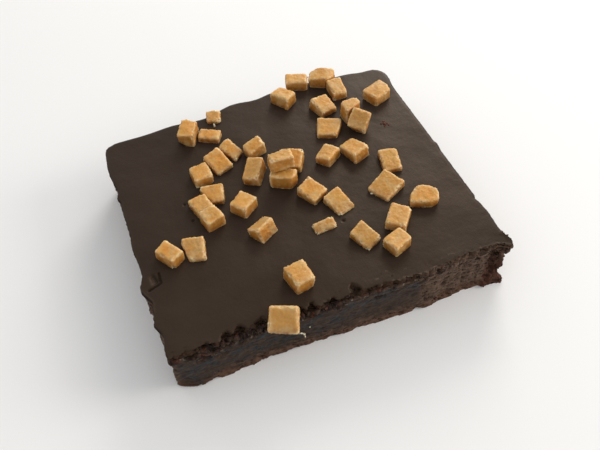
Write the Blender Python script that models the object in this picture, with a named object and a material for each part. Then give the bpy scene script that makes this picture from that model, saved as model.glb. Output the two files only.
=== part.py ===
"""Caramel brownie: a cut slab of dense brownie under chocolate icing, topped with dice of fudge.

Named lengths are millimetres and become metres when a mesh is made. X runs along the front
edge to the right, Y to the back and Z up. The slab stands on Z = 0, and the whole brownie's
box is centred on the Z axis.
"""
import math
import random

import bmesh
import bpy
from mathutils import Matrix, Vector, noise

MM = 0.001
GAP = 0.3

# The slab: a portion cut from a tray, with the icing as a skin over the top
WIDTH = 90.0
DEPTH = 76.0
CRUMB_TOP = 14.3
ICING_BOTTOM = CRUMB_TOP + GAP
ICING_TOP = 16.4
CORNER_RADIUS = {"front_right": 0.5, "back_right": 2.5, "back_left": 4.5, "front_left": 0.8}

# How far each side swells or is nicked: (place along the side, outwards, reach to each side)
SIDE_WAVES = {
    "front": ((-20.0, -0.9, 16.0), (20.0, 0.9, 14.0), (44.5, 1.0, 3.0)),
    "right": (
        (34.0, 0.7, 6.0),
        (0.5, 0.5, 2.0),
        (-22.0, -0.5, 1.5),
        (-27.5, 0.3, 4.0),
        (-38.0, 0.6, 2.0),
    ),
    "back": (
        (42.0, 0.9, 5.0),
        (35.0, 1.2, 10.0),
        (17.0, 3.4, 26.0),
        (7.0, 0.6, 7.0),
        (-4.5, 2.5, 10.0),
        (-24.0, 0.7, 9.0),
    ),
    "left": (
        (27.0, 0.6, 8.0),
        (18.5, -0.5, 2.0),
        (15.8, 0.5, 1.5),
        (13.5, -0.4, 1.5),
        (-3.5, 0.5, 6.0),
        (-16.5, 1.4, 4.5),
        (-21.5, -0.5, 2.0),
        (-27.5, 0.9, 2.2),
        (-32.0, -0.6, 3.0),
        (-36.2, 0.4, 1.2),
    ),
}
SIDE_DIRECTIONS = {
    "front": Vector((0.0, -1.0)),
    "right": Vector((1.0, 0.0)),
    "back": Vector((0.0, 1.0)),
    "left": Vector((-1.0, 0.0)),
}

# Cut sides of the crumb: rows of height and the spacing of the points along them
CRUMB_ROWS = (0.0, 0.6, 2.0, 3.7, 5.4, 7.1, 8.8, 10.4, 11.8, 13.1, CRUMB_TOP)
CRUMB_SPACING = 1.75
CRUMB_BEHIND_ICING = 0.5

# Crags and long low pores: how many to a millimetre, and how deep
CRAG_GRAIN = 0.45
CRAG_DEPTH = 0.45
PORE_GRAIN = (0.28, 0.28, 0.75)
PORE_DEPTH = 1.0

# Crumb bitten away under the icing, and the foot that stands out under the front
UNDERCUT_HEIGHT = 2.6
UNDERCUT_DEPTH = 1.1
UNDERCUT_GRAIN = 0.6
FOOT_HEIGHT = 4.0
FOOT_REACH = 0.75

# The front left corner is worn back near its foot: how far, and where it fades out
WORN_BACK = 1.9
WORN_ALONG = (-45.0, -40.5)
WORN_IN = (-37.5, -32.5)
WORN_UP = (0.5, 5.5)

# The stretch of the front that a chocolatey knife smeared flat, and how softly it ends
SMEAR_FROM, SMEAR_TO = -44.0, 24.0
SMEAR_FADE_LEFT, SMEAR_FADE_RIGHT = 4.0, 10.0
SMEAR_LOW, SMEAR_HIGH = 2.0, 11.5
SMEAR_FADE_UP = 1.0
SMEAR_FLATTENS = 0.8

# The broken front right corner
BROKEN_FROM = 39.5
BROKEN_FADE = 2.5
BROKEN_DEPTH = 2.2
BROKEN_SLOPE = (1.0, 4.5)

# Icing: how far each row of its edge lies inside the outline
ICING_ROWS = ((ICING_BOTTOM, 0.35), (15.1, 0.0), (15.7, 0.05), (16.15, 0.35), (ICING_TOP, 0.95))
ICING_SPACING = 1.2
RAGGED_GRAIN = (0.7, 0.7, 0.35)
RAGGED_DEPTH = 0.35
RAGGED_ELSEWHERE = 0.5

# A side counts as the front where it faces at least this far forwards, fully from the second
FACES_FRONT = (0.3, 0.8)

# Noise: how each finer layer fades and shrinks, and shifts that keep the patterns apart
NOISE_ROUGHNESS = 0.9
NOISE_STEP = 2.0
PORE_SHIFT = Vector((0.0, 0.0, 40.0))
UNDERCUT_SHIFT = Vector((9.0, 3.0, 5.0))

# A square print in the icing where a die of fudge fell off
PRINT_AT = (-43.0, -15.3)
PRINT_SIZE = (3.4, 3.2, 1.6)
PRINT_TURN = 14.0
PRINT_LEAN = 10.0
PRINT_DEPTH = 0.45

# Fudge dice
DIE_SOFTNESS = 0.35
DIE_CROOKED = 0.28


def start_clean():
    """Removes what the scene holds, and makes the two collections."""
    for old in list(bpy.data.objects):
        bpy.data.objects.remove(old, do_unlink=True)
    parts = bpy.data.collections.new("caramel_brownie")
    cutters = bpy.data.collections.new("cutters")
    bpy.context.scene.collection.children.link(parts)
    bpy.context.scene.collection.children.link(cutters)
    return parts, cutters


def material(name, colour, roughness):
    """A food surface as one Principled material."""
    made = bpy.data.materials.new(name)
    made.use_nodes = True
    shader = made.node_tree.nodes["Principled BSDF"]
    shader.inputs["Base Color"].default_value = (*colour, 1.0)
    shader.inputs["Roughness"].default_value = roughness
    shader.inputs["Metallic"].default_value = 0.0
    made.diffuse_color = (*colour, 1.0)
    return made


def object_from(bm, name, collection, surface=None, place=None):
    """Turns a mesh in millimetres into an object in metres, standing where place puts it."""
    bmesh.ops.recalc_face_normals(bm, faces=bm.faces)
    bm.transform(Matrix.Scale(MM, 4))
    mesh = bpy.data.meshes.new(name)
    bm.to_mesh(mesh)
    bm.free()
    if surface:
        mesh.materials.append(surface)
    made = bpy.data.objects.new(name, mesh)
    if place:
        made.location = place.to_translation() * MM
        made.rotation_euler = place.to_euler()
    collection.objects.link(made)
    return made


def bump(along, place, height, reach):
    """A soft swelling that fades to nothing at its reach."""
    away = min(abs(along - place) / reach, 1.0)
    return height * math.cos(away * math.pi / 2) ** 2


def ramp(value, low, high):
    """Rises smoothly from 0 at low to 1 at high."""
    share = min(max((value - low) / (high - low), 0.0), 1.0)
    return share * share * (3.0 - 2.0 * share)


def side_wave(point, outward):
    """How far the outline stands out of the plain rounded rectangle at this point."""
    total = 0.0
    for side, direction in SIDE_DIRECTIONS.items():
        share = max(outward.dot(direction), 0.0) ** 2
        along = point.x if direction.x == 0.0 else point.y
        total += share * sum(bump(along, *wave) for wave in SIDE_WAVES[side])
    return total


def outline(spacing):
    """Points round the slab with their outward directions: arcs at the corners, runs between."""
    half_width = WIDTH / 2
    half_depth = DEPTH / 2
    corners = (
        (half_width, -half_depth, -90.0, CORNER_RADIUS["front_right"]),
        (half_width, half_depth, 0.0, CORNER_RADIUS["back_right"]),
        (-half_width, half_depth, 90.0, CORNER_RADIUS["back_left"]),
        (-half_width, -half_depth, 180.0, CORNER_RADIUS["front_left"]),
    )
    arcs = []
    for x, y, start, radius in corners:
        centre = Vector((x - math.copysign(radius, x), y - math.copysign(radius, y)))
        steps = max(2, round(radius * math.pi / 2 / spacing))
        arc = []
        for step in range(steps + 1):
            angle = math.radians(start + 90.0 * step / steps)
            outward = Vector((math.cos(angle), math.sin(angle)))
            arc.append((centre + outward * radius, outward))
        arcs.append(arc)
    walk = []
    for index, arc in enumerate(arcs):
        walk.extend(arc)
        start, outward = arc[-1]
        end = arcs[(index + 1) % len(arcs)][0][0]
        steps = round((end - start).length / spacing)
        walk.extend((start.lerp(end, step / steps), outward) for step in range(1, steps))
    return [(point + outward * side_wave(point, outward), outward) for point, outward in walk]


def worn_back(point, height):
    """How far back the foot of the front left corner is worn."""
    share = 1.0 - ramp(point.x, *WORN_ALONG)
    share *= 1.0 - ramp(point.y, *WORN_IN)
    share *= 1.0 - ramp(height, *WORN_UP)
    return Vector((0.0, share * WORN_BACK))


def build_up(walk, heights, depth_at):
    """A slab raised row by row: the outline is filled, then extruded to each height above."""
    bm = bmesh.new()
    column = bm.verts.layers.int.new("column")

    def placed(index, row):
        point, outward = walk[index]
        flat = point - outward * depth_at(point, outward, row)
        flat += worn_back(point, heights[row])
        return Vector((flat.x, flat.y, heights[row]))

    first = [bm.verts.new(placed(index, 0)) for index in range(len(walk))]
    for index, vert in enumerate(first):
        vert[column] = index
    cap = bm.faces.new(first)
    for row in range(1, len(heights)):
        made = bmesh.ops.extrude_face_region(bm, geom=[cap])["geom"]
        for item in made:
            if isinstance(item, bmesh.types.BMVert):
                item.co = placed(item[column], row)
        if row > 1:
            bm.faces.remove(cap)
        cap = next(item for item in made if isinstance(item, bmesh.types.BMFace))
    return bm


def smear_share(x, height):
    """How fully the chocolatey knife smeared the front cut here, from 0 to 1."""
    along = ramp(x, SMEAR_FROM, SMEAR_FROM + SMEAR_FADE_LEFT)
    along *= 1.0 - ramp(x, SMEAR_TO - SMEAR_FADE_RIGHT, SMEAR_TO)
    up = ramp(height, SMEAR_LOW - SMEAR_FADE_UP, SMEAR_LOW + SMEAR_FADE_UP)
    up *= 1.0 - ramp(height, SMEAR_HIGH - SMEAR_FADE_UP, SMEAR_HIGH + SMEAR_FADE_UP)
    return along * up


def crumb_depth(point, outward, row):
    """How deep the crumb lies inside the outline: crags, pores, undercut, foot and broken corner."""
    height = CRUMB_ROWS[row]
    place = Vector((point.x, point.y, height))
    on_front = ramp(-outward.y, *FACES_FRONT)
    crags = noise.fractal(place * CRAG_GRAIN, NOISE_ROUGHNESS, NOISE_STEP, 3) * CRAG_DEPTH
    pores = ramp(noise.noise(place * Vector(PORE_GRAIN) + PORE_SHIFT), 0.12, 0.5) * PORE_DEPTH
    rough = (crags + pores) * (1.0 - SMEAR_FLATTENS * smear_share(point.x, height) * on_front)
    near_top = ramp(height, CRUMB_TOP - UNDERCUT_HEIGHT, CRUMB_TOP - 0.4 * UNDERCUT_HEIGHT)
    bites = 0.4 + 0.6 * ramp(noise.noise(place * UNDERCUT_GRAIN + UNDERCUT_SHIFT), -0.2, 0.4)
    undercut = near_top * bites * UNDERCUT_DEPTH
    foot = on_front * FOOT_REACH * (1.0 - ramp(height, 0.0, FOOT_HEIGHT))
    broken = on_front * ramp(point.x, BROKEN_FROM, BROKEN_FROM + BROKEN_FADE) * BROKEN_DEPTH
    broken *= ramp(height, *BROKEN_SLOPE)
    return CRUMB_BEHIND_ICING + rough + undercut - foot + broken


def icing_depth(point, outward, row):
    """How deep the icing's edge lies inside the outline: a rounded rim, ragged along its foot."""
    height, inset = ICING_ROWS[row]
    place = Vector((point.x, point.y, height)) * Vector(RAGGED_GRAIN)
    ragged = noise.fractal(place, NOISE_ROUGHNESS, NOISE_STEP, 2) * RAGGED_DEPTH
    low = 1.0 - ramp(height, ICING_BOTTOM + 0.4, ICING_TOP - 0.3)
    on_front = ramp(-outward.y, *FACES_FRONT)
    return inset + ragged * low * (RAGGED_ELSEWHERE + (1.0 - RAGGED_ELSEWHERE) * on_front)


def crumb(collection, surface):
    """The brownie itself, one dense block with cut and craggy sides."""
    bm = build_up(outline(CRUMB_SPACING), CRUMB_ROWS, crumb_depth)
    return object_from(bm, "brownie_crumb", collection, surface)


def icing(collection, cutters, surface):
    """The chocolate icing, with the square print of a lost die cut into it."""
    heights = [height for height, inset in ICING_ROWS]
    bm = build_up(outline(ICING_SPACING), heights, icing_depth)
    made = object_from(bm, "chocolate_icing", collection, surface)
    bm = bmesh.new()
    bmesh.ops.create_cube(bm, size=1.0)
    lean = Matrix.Rotation(math.radians(PRINT_LEAN), 4, "Y")
    turn = Matrix.Rotation(math.radians(PRINT_TURN), 4, "Z")
    centre_height = ICING_TOP - PRINT_DEPTH + PRINT_SIZE[2] / 2
    place = Matrix.Translation((*PRINT_AT, centre_height))
    bm.transform(place @ turn @ lean @ Matrix.Diagonal((*PRINT_SIZE, 1.0)))
    cutter = object_from(bm, "print_cutter", cutters)
    hide_guide(cutter)
    cut = made.modifiers.new("print", "BOOLEAN")
    cut.operation = "DIFFERENCE"
    cut.object = cutter
    return made


def hide_guide(guide):
    """Marks a cutter as a guide that is no part of the brownie."""
    guide.hide_render = True
    guide.display_type = "WIRE"


def slice_off(bm, point, direction):
    """Cuts away what lies beyond a plane, and closes the cut."""
    every = bm.verts[:] + bm.edges[:] + bm.faces[:]
    bmesh.ops.bisect_plane(bm, geom=every, plane_co=point, plane_no=direction, clear_outer=True)
    rim = [edge for edge in bm.edges if edge.is_boundary]
    if rim:
        bmesh.ops.holes_fill(bm, edges=rim)


def fudge_die(name, collection, surface, top, size, turn, roll=0.0, pitch=0.0, trims=()):
    """One die of fudge, stuck in the icing: a crooked soft-edged block cut off level with it.

    top is the middle of its upper face: X, Y and height over the icing. size is along, across
    and down. Turn, roll and pitch are degrees about Z, the long axis and the short axis. Each
    trim is a broken face: the direction that it faces, in the die's own axes, and how far it
    lies from the die's middle.
    """
    length, width, height = size
    hand = random.Random(name)
    bm = bmesh.new()
    bmesh.ops.create_cube(bm, size=1.0)
    for vert in bm.verts:
        crooked = Vector([hand.uniform(-DIE_CROOKED, DIE_CROOKED) for axis in range(3)])
        vert.co = Vector((vert.co.x * length, vert.co.y * width, vert.co.z * height)) + crooked
    for direction, distance in trims:
        facing = Vector(direction).normalized()
        slice_off(bm, facing * distance, facing)
    bmesh.ops.bevel(
        bm,
        geom=bm.edges,
        offset=DIE_SOFTNESS,
        segments=2,
        profile=0.6,
        affect="EDGES",
        clamp_overlap=True,
    )
    turned = Matrix.Rotation(math.radians(turn), 4, "Z")
    rolled = Matrix.Rotation(math.radians(roll), 4, "X")
    pitched = Matrix.Rotation(math.radians(pitch), 4, "Y")
    lie = turned @ rolled @ pitched
    upper_face = Vector((top[0], top[1], ICING_TOP + top[2]))
    place = Matrix.Translation(upper_face) @ lie @ Matrix.Translation((0.0, 0.0, -height / 2))
    level = place.inverted() @ Vector((top[0], top[1], ICING_TOP + GAP))
    downward = lie.inverted() @ Vector((0.0, 0.0, -1.0))
    slice_off(bm, level, downward)
    return object_from(bm, name, collection, surface, place)


# Every die: middle of its upper face, its size, and how it lies
DICE = (
    # Back left corner
    dict(
        top=(-20.7, 30.8, 4.3),
        size=(6.4, 4.6, 6.0),
        turn=60,
        pitch=-5,
        trims=(((-1.0, 0.5, -0.4), 2.8),),
    ),
    dict(top=(-11.4, 36.2, 1.4), size=(4.2, 4.4, 4.0), turn=75, pitch=-5),
    dict(top=(-15.0, 28.6, 1.7), size=(4.0, 6.0, 4.0), turn=60),
    # Left cluster, from the back to the front
    dict(top=(-15.9, 16.5, 2.2), size=(5.2, 6.8, 5.5), turn=22, roll=18, pitch=-10),
    dict(top=(-11.1, 19.3, 2.6), size=(3.6, 6.0, 5.5), turn=35, roll=22, pitch=-15),
    dict(top=(-5.0, 17.5, 3.5), size=(5.5, 4.0, 6.0), turn=15, roll=5, pitch=-10),
    dict(top=(-8.3, 9.1, 3.1), size=(7.0, 4.4, 6.0), turn=57, roll=-12, pitch=-10),
    dict(top=(-21.9, 13.4, 3.0), size=(5.0, 5.8, 6.0), turn=5),
    dict(
        top=(-21.1, 5.6, 2.0),
        size=(6.2, 5.5, 5.5),
        turn=-15,
        roll=15,
        pitch=-5,
        trims=(((-1.0, -0.7, 0.0), 1.7),),
    ),
    dict(top=(-24.9, 3.0, 2.2), size=(5.0, 5.6, 4.5), turn=15),
    dict(top=(-23.6, -2.8, 3.4), size=(5.0, 5.0, 5.0), turn=13),
    dict(top=(-14.3, -1.1, 2.9), size=(5.4, 5.3, 6.0), turn=38, roll=-3, pitch=4),
    dict(top=(-12.7, -10.0, 2.7), size=(6.0, 3.8, 6.0), turn=30, roll=-33),
    # Two at the left
    dict(top=(-37.0, -9.8, 3.0), size=(4.4, 6.4, 5.5), turn=32, roll=-4),
    dict(
        top=(-30.9, -10.4, 1.7),
        size=(5.8, 6.6, 5.5),
        turn=-14,
        roll=8,
        pitch=-3,
        trims=(((-1.0, -0.35, 0.0), 2.1),),
    ),
    # The stack in the middle, and the three to its right
    dict(top=(2.6, 7.6, 4.3), size=(6.4, 5.2, 5.5), turn=-26, roll=22),
    dict(top=(-0.8, 6.0, 8.0), size=(4.4, 6.4, 3.6), turn=85, pitch=12),
    dict(top=(-1.2, 3.1, 4.2), size=(3.6, 7.0, 5.5), turn=63, trims=(((-0.5, -0.87, 0.0), 3.0),)),
    dict(top=(4.4, -3.9, 2.6), size=(5.2, 6.2, 5.5), turn=30, roll=8, pitch=-5),
    dict(top=(9.4, -9.9, 1.6), size=(5.4, 6.9, 5.5), turn=20, roll=15, pitch=-5),
    dict(top=(3.1, -15.7, 1.0), size=(6.0, 2.8, 5.0), turn=5, roll=10, pitch=-5),
    # Back right group
    dict(top=(10.7, 35.3, 3.2), size=(5.1, 6.0, 6.0), turn=34, roll=-5, pitch=3),
    dict(top=(17.0, 40.6, 3.2), size=(4.6, 6.4, 6.0), turn=73),
    dict(
        top=(24.8, 39.3, 3.4),
        size=(7.2, 5.4, 5.5),
        turn=-28,
        pitch=-11,
        trims=(((0.4, 0.0, 1.0), 3.0), ((-1.0, 1.0, 0.3), 3.6), ((1.0, -1.0, -0.4), 2.7)),
    ),
    dict(top=(20.8, 26.9, 2.4), size=(5.3, 6.2, 5.5), turn=15, roll=12, pitch=5),
    dict(top=(27.3, 32.4, 2.9), size=(4.5, 6.6, 5.5), turn=-2, roll=5),
    dict(
        top=(18.4, 17.5, 2.0),
        size=(7.0, 6.2, 5.5),
        turn=-24,
        roll=10,
        trims=(((1.0, -0.3, 0.0), 3.0),),
    ),
    dict(top=(26.7, 20.2, 5.5), size=(5.2, 5.2, 6.5), turn=5, trims=(((0.35, -1.0, 0.0), 0.9),)),
    dict(top=(26.6, 14.6, 4.0), size=(5.8, 5.2, 2.8), turn=50, roll=10, pitch=-42),
    dict(
        top=(38.0, 26.0, 3.0),
        size=(7.4, 5.5, 6.0),
        turn=23,
        roll=-3,
        trims=(((1.0, -0.45, 0.0), 3.4),),
    ),
    dict(top=(13.5, 7.5, 2.5), size=(6.0, 4.5, 6.0), turn=40, roll=-10),
    dict(top=(21.2, 6.5, 2.7), size=(5.2, 6.6, 6.0), turn=20, roll=-12, pitch=-5),
    # Along the right
    dict(top=(28.9, -1.2, 1.6), size=(5.3, 7.6, 5.5), turn=-10, roll=7, pitch=-5),
    dict(top=(23.5, -9.7, 1.8), size=(7.6, 6.9, 5.5), turn=30, roll=5, pitch=-12),
    dict(
        top=(31.2, -17.2, 2.6),
        size=(5.6, 7.6, 5.5),
        turn=65,
        pitch=-5,
        trims=(((0.5, 0.8, 0.0), 3.0), ((-0.8, -0.5, 0.0), 3.2), ((0.88, -0.48, 0.0), 3.1)),
    ),
    dict(top=(21.5, -21.4, 3.0), size=(6.7, 5.4, 6.0), turn=50),
    dict(top=(17.7, -28.1, 2.9), size=(5.6, 4.9, 5.5), turn=21, roll=-3),
    dict(top=(11.1, -23.5, 2.0), size=(5.0, 6.6, 5.5), turn=27, roll=13, pitch=-12),
    # Alone in front
    dict(
        top=(-9.1, -29.0, 3.9),
        size=(5.4, 6.5, 6.5),
        turn=11,
        pitch=3,
        trims=(((1.0, 0.0, -0.3), 2.1),),
    ),
    dict(top=(-17.1, -39.2, 2.5), size=(6.1, 7.0, 5.5), turn=67, pitch=-35),
)


def centre_on_origin(pieces):
    """Puts every piece on one empty, placed so that the whole box is centred on the Z axis."""
    bpy.context.view_layer.update()
    corners = [piece.matrix_world @ Vector(corner) for piece in pieces for corner in piece.bound_box]
    middle = [(min(c[axis] for c in corners) + max(c[axis] for c in corners)) / 2 for axis in (0, 1)]
    base = bpy.data.objects.new("base_centre", None)
    pieces[0].users_collection[0].objects.link(base)
    for piece in pieces:
        piece.parent = base
    base.location = (-middle[0], -middle[1], 0.0)


def main():
    parts, cutters = start_clean()
    crumb_surface = material("brownie_crumb", (0.045, 0.025, 0.018), 0.85)
    icing_surface = material("chocolate_icing", (0.035, 0.023, 0.017), 0.4)
    fudge_surface = material("fudge", (0.56, 0.28, 0.085), 0.55)
    pieces = [crumb(parts, crumb_surface), icing(parts, cutters, icing_surface)]
    for number, die in enumerate(DICE, start=1):
        name = f"fudge_{number:02d}"
        pieces.append(fudge_die(name, parts, fudge_surface, **die))
    centre_on_origin(pieces)


main()
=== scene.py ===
"""Caramel brownie: the looks. Chocolate icing, a dense cut crumb and dice of fudge.

Lengths are named in millimetres and used in metres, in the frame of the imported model: X runs
along the front edge to the right, Y to the back and Z up from the underside.
"""

import math

import bpy
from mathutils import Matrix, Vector


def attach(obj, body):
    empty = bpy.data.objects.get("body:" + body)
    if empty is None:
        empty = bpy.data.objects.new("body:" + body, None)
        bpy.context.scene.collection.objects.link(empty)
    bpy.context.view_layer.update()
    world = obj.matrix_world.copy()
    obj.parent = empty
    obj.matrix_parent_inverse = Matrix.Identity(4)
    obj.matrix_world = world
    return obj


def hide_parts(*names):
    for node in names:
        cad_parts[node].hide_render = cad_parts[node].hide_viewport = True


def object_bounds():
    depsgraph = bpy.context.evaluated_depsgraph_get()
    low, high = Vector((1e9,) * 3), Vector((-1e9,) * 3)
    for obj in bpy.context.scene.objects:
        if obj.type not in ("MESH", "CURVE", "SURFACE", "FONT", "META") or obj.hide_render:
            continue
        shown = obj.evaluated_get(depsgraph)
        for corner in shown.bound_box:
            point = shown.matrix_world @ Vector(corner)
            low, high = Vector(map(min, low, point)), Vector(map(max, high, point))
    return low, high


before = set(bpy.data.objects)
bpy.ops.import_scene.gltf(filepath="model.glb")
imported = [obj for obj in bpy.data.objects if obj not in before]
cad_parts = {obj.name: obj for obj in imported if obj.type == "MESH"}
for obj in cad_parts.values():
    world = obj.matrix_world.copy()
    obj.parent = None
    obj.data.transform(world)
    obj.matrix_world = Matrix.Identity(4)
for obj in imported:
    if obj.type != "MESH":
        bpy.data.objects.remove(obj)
solid_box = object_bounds()

MM = 0.001

# Vertices of a solid that lie closer than this, in metres, become one
MERGED_WITHIN = 1e-6

# Settings that many nodes share. A Map Range node reads the span from input 1 to 2 and gives the
# span from 3 to 4, and each is 0 to 1 where it isn't said.
MIX = {"data_type": "RGBA"}
SMOOTH = {"interpolation_type": "SMOOTHSTEP"}
FREE = {"clamp": False}
ADD = {"operation": "ADD"}
TAKE = {"operation": "SUBTRACT"}
TIMES = {"operation": "MULTIPLY"}
TIMES_ADD = {"operation": "MULTIPLY_ADD"}
LARGER = {"operation": "MAXIMUM"}
SIZE = {"operation": "ABSOLUTE"}
SCALE = {"operation": "SCALE"}

# The solids that the pieces are fitted to, and their heights
DICE = sorted(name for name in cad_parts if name.startswith("fudge_"))
CRUMB_TOP = 14.3
ICING_BASE = 14.6
ICING_TOP = 16.4
DICE_START = 16.7
DICE_SUNK = 0.9

# How far off a flat face a vertex may lie and still count as on it
CRUMB_SLACK = 0.06
ICING_SLACK = 0.08
DICE_SLACK = 0.02

# How finely each piece is remeshed, and how often it is smoothed
CRUMB_VOXEL = 0.3
ICING_VOXEL = 0.31
FUDGE_VOXEL = 0.28
SMOOTHINGS = 2

# How far inside the box the hidden flat faces lie: from the left, right, front and back
CRUMB_MARGINS = (4, 4, 9, 8)
ICING_MARGINS = (5, 5, 5, 9)

# Dark holes torn in the front: place along it, height, width and height of the hole
FRONT_HOLES = (
    (-42.6, 14.4, 1.8, 0.6),
    (-39.2, 13.6, 1.7, 0.7),
    (-35.6, 14.9, 1.8, 1.2),
    (-32.8, 13.4, 1.0, 0.9),
    (-30.5, 15.3, 1.8, 1.5),
    (-27.0, 15.6, 1.8, 1.7),
    (-24.0, 14.0, 1.1, 1.3),
    (-21.4, 15.6, 1.6, 2.2),
    (-12.0, 15.2, 1.4, 1.6),
    (-8.9, 15.4, 1.4, 1.4),
    (-3.7, 15.2, 2.1, 1.2),
    (-0.4, 14.6, 1.6, 0.7),
    (2.7, 16.2, 1.4, 1.7),
    (-36.4, 9.9, 2.0, 0.8),
    (-32.3, 9.4, 2.0, 0.8),
    (8.5, 10.6, 2.4, 0.45),
    (15.6, 14.5, 1.4, 0.4),
    (18.9, 14.8, 1.4, 0.4),
    (28.0, 14.6, 1.7, 0.4),
)
FRONT_AT = -38.3
HOLE_REACH = 2.6

# Pores: how many cells to a millimetre along the cut and up, the share that is open, and the depth
PORES = (((0.32, 1.4), 0.6, 1.0), ((0.7, 2.4), 0.5, 0.9))

# Small round pits in the top of the icing
ICING_PITS = ((-28.4, 5.9, 16.4), (-27.7, -0.4, 16.4), (8.8, -15.9, 16.4))

# The print of a lost die: the ends of the grooves along its right and its front edge
PRINT_GROOVES = (
    ((-40.5, -13.7, 16.2), (-40.7, -16.8, 16.2)),
    ((-40.7, -16.8, 16.2), (-44.1, -18.0, 16.2)),
)

# Chips of pale sugar, most on the icing: the place and the half sizes of each
SUGAR_CHIPS = (
    ((-11.9, 32.4, 16.9), (0.26, 0.26, 0.8)),
    ((22.0, 42.9, 16.4), (0.6, 0.4, 0.35)),
    ((19.9, -10.1, 16.4), (0.6, 0.35, 0.3)),
    ((21.0, -11.2, 16.4), (0.7, 0.35, 0.35)),
    ((21.9, -12.2, 16.4), (0.5, 0.3, 0.3)),
    ((-12.4, -37.9, 6.9), (0.35, 0.2, 0.12)),
    ((-11.9, -37.9, 6.7), (0.35, 0.2, 0.14)),
    ((-11.5, -37.9, 6.3), (0.22, 0.2, 0.24)),
    ((-11.25, -37.9, 5.8), (0.15, 0.2, 0.34)),
    ((-11.1, -37.9, 5.2), (0.12, 0.2, 0.4)),
    ((-11.05, -37.9, 4.6), (0.1, 0.2, 0.36)),
    ((-9.7, -37.9, 8.3), (0.2, 0.2, 0.16)),
)

# Loose crumbs: millimetres between two, how many to a square metre at most, and their radius
CRUMB_SPACING = 0.9
CRUMBS_AT_MOST = 6e5
CRUMB_RADIUS = 0.36

# Bits of one baked crumb that lies on the icing: the place and the half sizes of each
BAKED_CRUMB = (
    ((34.3, 14.0, 16.4), (0.55, 0.3, 0.2)),
    ((35.0, 13.4, 16.45), (0.5, 0.55, 0.3)),
    ((35.7, 13.6, 16.4), (0.4, 0.3, 0.2)),
    ((36.1, 12.8, 16.4), (0.4, 0.25, 0.2)),
    ((35.3, 14.6, 16.4), (0.5, 0.3, 0.2)),
    ((34.7, 12.6, 16.4), (0.3, 0.4, 0.2)),
)

# Camera: a pinhole fitted to the slab's corners, its lens and sensor in real millimetres, and how
# near it sees, in metres
CAMERA_PLACE = (-41.02, -123.09, 157.90)
CAMERA_LOOKS_AT = (2.25, -0.06, 0.0)
CAMERA_ROLL = -2.65
CAMERA_LENS = 42.0
CAMERA_SENSOR = 36.0
CAMERA_NEAREST = 0.01

# Two square soft lights: side in metres, power in watts and place in metres
SOFT_LIGHTS = (
    ("softbox_behind", 0.36, 3.2, (0.46, 0.6, 0.38)),
    ("softbox_at_right", 0.36, 2.6, (0.66, -0.2, 0.3)),
)
LIGHT_TINT = (1.0, 0.95, 0.88)
SKY_STRENGTH = 0.68
FLOOR_SIDE = 4.0


def colour(code):
    """An sRGB hex colour as linear red, green, blue and alpha."""
    shares = [int(code[place:place + 2], 16) / 255 for place in (1, 3, 5)]
    linear = [v / 12.92 if v <= 0.04045 else ((v + 0.055) / 1.055) ** 2.4 for v in shares]
    return (*linear, 1.0)


def add_node(tree, kind, settings=None, inputs=None):
    """Adds a node. An input is a value, a socket, or a node whose first output in use feeds it."""
    node = tree.nodes.new(kind)
    for name, value in (settings or {}).items():
        setattr(node, name, value)
    for name, value in (inputs or {}).items():
        if isinstance(value, bpy.types.Node):
            value = next(socket for socket in value.outputs if socket.enabled)
        if isinstance(value, bpy.types.NodeSocket):
            tree.links.new(value, node.inputs[name])
        else:
            node.inputs[name].default_value = value
    return node


def pick(piece):
    """Selects this piece alone."""
    for other in bpy.context.selected_objects:
        other.select_set(False)
    bpy.context.view_layer.objects.active = piece
    piece.select_set(True)


def apply_all(piece):
    """Applies a piece's modifiers in their order."""
    pick(piece)
    for name in [modifier.name for modifier in piece.modifiers]:
        bpy.ops.object.modifier_apply(modifier=name)


def copy_of(node_name, name):
    """A new piece that starts as a merged copy of a solid's mesh."""
    piece = bpy.data.objects.new(name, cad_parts[node_name].data.copy())
    bpy.context.scene.collection.objects.link(piece)
    piece.data.materials.clear()
    pick(piece)
    bpy.ops.object.mode_set(mode="EDIT")
    bpy.ops.mesh.select_all(action="SELECT")
    bpy.ops.mesh.remove_doubles(threshold=MERGED_WITHIN)
    bpy.ops.object.mode_set(mode="OBJECT")
    return piece


def remesh(piece, voxel):
    """Gives a piece an even fine mesh, and softens the steps."""
    fine = piece.modifiers.new("fine", "REMESH")
    fine.mode = "VOXEL"
    fine.voxel_size = voxel * MM
    fine.use_smooth_shade = True
    soft = piece.modifiers.new("soft", "SMOOTH")
    soft.factor = 0.5
    soft.iterations = SMOOTHINGS
    apply_all(piece)


def shape_by_nodes(piece, name, build):
    """Builds a tree of geometry nodes over a piece and applies it."""
    tree = bpy.data.node_groups.new(name, "GeometryNodeTree")
    tree.interface.new_socket("Geometry", in_out="INPUT", socket_type="NodeSocketGeometry")
    tree.interface.new_socket("Geometry", in_out="OUTPUT", socket_type="NodeSocketGeometry")
    start = add_node(tree, "NodeGroupInput")
    finished = build(tree, start.outputs[0])
    add_node(tree, "NodeGroupOutput", inputs={0: finished})
    modifier = piece.modifiers.new(name, "NODES")
    modifier.node_group = tree
    apply_all(piece)


def select_vertices(piece, wanted):
    """Selects the vertices whose place, in millimetres, is wanted."""
    pick(piece)
    bpy.ops.object.mode_set(mode="EDIT")
    bpy.ops.mesh.select_mode(type="VERT")
    bpy.ops.mesh.select_all(action="DESELECT")
    bpy.ops.object.mode_set(mode="OBJECT")
    chosen = [wanted(vertex.co / MM) for vertex in piece.data.vertices]
    piece.data.vertices.foreach_set("select", chosen)
    bpy.ops.object.mode_set(mode="EDIT")


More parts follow.
